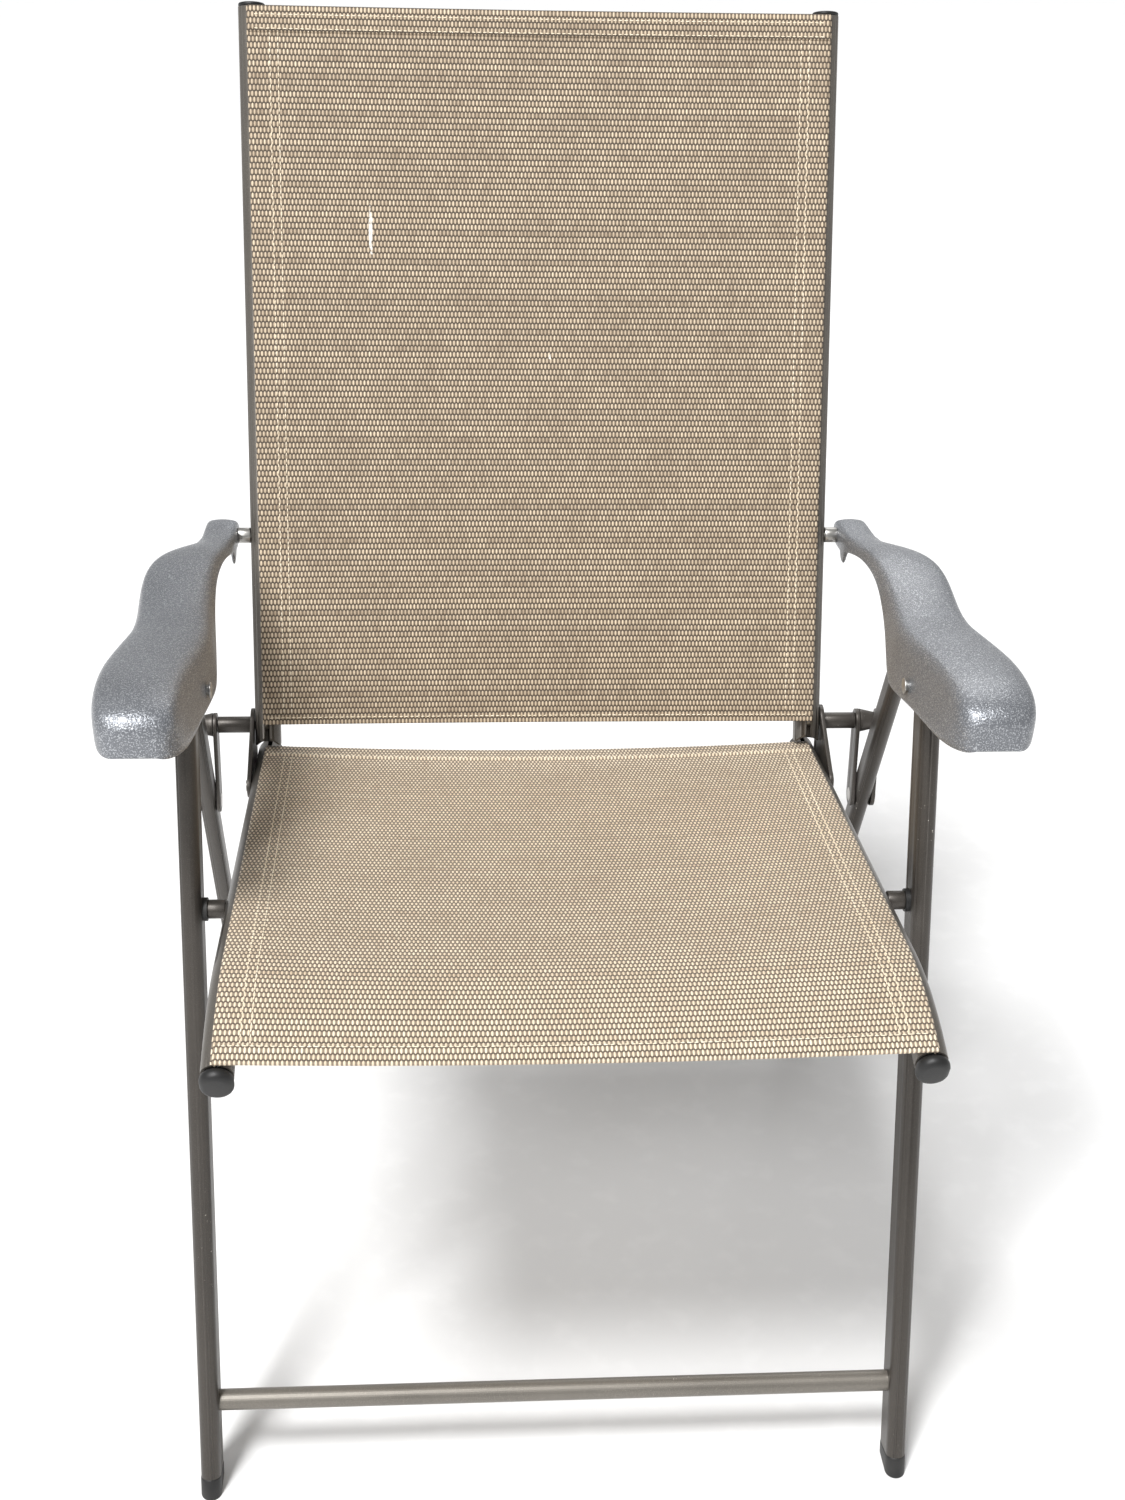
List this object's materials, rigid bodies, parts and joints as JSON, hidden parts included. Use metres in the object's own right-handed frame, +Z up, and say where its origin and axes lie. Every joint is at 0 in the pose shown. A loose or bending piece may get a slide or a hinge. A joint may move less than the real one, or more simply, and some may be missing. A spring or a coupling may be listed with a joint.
{
  "type": "folding sling armchair",
  "caption": "Folding patio armchair with a tubular steel frame, slotted rails and a woven sling seat and back.",
  "frame": {"origin": "on the floor, in the middle of the chair's outline", "axes": "+Z up, the seat's front faces -Y, +X to the right seen from the front"},
  "size_m": [0.598, 0.6566, 0.933],
  "materials": {
    "coated_steel": "dark taupe bronze powder coat, satin, small chips",
    "woven_cloth": "woven coated yarn in tan and brown",
    "arm_moulding": "silver grey moulding, fine texture",
    "black_plastic": "black moulded plastic",
    "zinc_steel": "zinc plated steel"
  },
  "bodies": {
    "front_frame": {"front_leg_left": "coated_steel", "front_leg_right": "coated_steel", "front_crossbar": "coated_steel", "front_foot_caps": "black_plastic", "seat_pivot_bolts": "zinc_steel", "seat_pivot_spacers": "zinc_steel", "seat_pivot_washers": "black_plastic"},
    "seat_frame": {"seat_rail_left": "coated_steel", "seat_rail_right": "coated_steel", "seat_front_crossbar": "coated_steel", "seat_rear_crossbar": "coated_steel", "seat_front_caps": "black_plastic", "seat_rear_caps": "black_plastic", "seat_hem_rods": "black_plastic", "seat_sling": "woven_cloth", "hinge_plate_left": "coated_steel", "hinge_plate_right": "coated_steel", "hinge_rivets": "zinc_steel"},
    "back_frame": {"back_rail_left": "coated_steel", "back_rail_right": "coated_steel", "back_upper_crossbar": "coated_steel", "back_lower_crossbar": "coated_steel", "back_top_caps": "black_plastic", "back_hem_rods": "black_plastic", "back_sling": "woven_cloth", "arm_bolts": "zinc_steel", "arm_spacers": "zinc_steel", "link_studs": "zinc_steel", "link_spacers": "coated_steel", "link_cones": "coated_steel"},
    "left_arm": {"armrest_left": "arm_moulding", "arm_rivets_left": "zinc_steel", "arm_bushes_left": "black_plastic"},
    "right_arm": {"armrest_right": "arm_moulding", "arm_rivets_right": "zinc_steel", "arm_bushes_right": "black_plastic"},
    "rear_frame": {"rear_leg_left": "coated_steel", "rear_leg_right": "coated_steel", "rear_crossbar": "coated_steel", "rear_foot_caps": "black_plastic"},
    "left_link": {"link_inner_left": "coated_steel", "link_outer_left": "coated_steel", "link_rivets_left": "zinc_steel"},
    "right_link": {"link_inner_right": "coated_steel", "link_outer_right": "coated_steel", "link_rivets_right": "zinc_steel"}
  },
  "joints": [
    {"name": "seat_fold", "type": "hinge", "parent": "front_frame", "child": "seat_frame", "pos_m": [0, -0.13348, 0.4143], "axis": [-1, 0, 0], "range_deg": [0, 92]},
    {"name": "left_arm_fold", "type": "hinge", "parent": "front_frame", "child": "left_arm", "pos_m": [0, -0.09213, 0.55849], "axis": [-1, 0, 0], "range_deg": [0, 92]},
    {"name": "right_arm_fold", "type": "hinge", "parent": "front_frame", "child": "right_arm", "pos_m": [0, -0.09213, 0.55849], "axis": [-1, 0, 0], "range_deg": [0, 92]},
    {"name": "back_fold", "type": "hinge", "parent": "seat_frame", "child": "back_frame", "pos_m": [0, 0.13652, 0.4123], "axis": [-1, 0, 0], "range_deg": [-92, 0]},
    {"name": "rear_leg_fold", "type": "hinge", "parent": "left_arm", "child": "rear_frame", "pos_m": [0, 0.02387, 0.56149], "axis": [-1, 0, 0], "range_deg": [-52, 0]},
    {"name": "left_link_fold", "type": "hinge", "parent": "back_frame", "child": "left_link", "pos_m": [0, 0.13652, 0.4123], "axis": [-1, 0, 0], "range_deg": [0, 168]},
    {"name": "right_link_fold", "type": "hinge", "parent": "back_frame", "child": "right_link", "pos_m": [0, 0.13652, 0.4123], "axis": [-1, 0, 0], "range_deg": [0, 168]}
  ],
  "couplings": [
    {"joint": "left_arm_fold", "follows": "seat_fold", "ratio": 1},
    {"joint": "right_arm_fold", "follows": "seat_fold", "ratio": 1},
    {"joint": "back_fold", "follows": "seat_fold", "ratio": -1},
    {"joint": "rear_leg_fold", "follows": "seat_fold", "ratio": -0.56196},
    {"joint": "left_link_fold", "follows": "seat_fold", "ratio": 1.8207},
    {"joint": "right_link_fold", "follows": "seat_fold", "ratio": 1.8207}
  ]
}
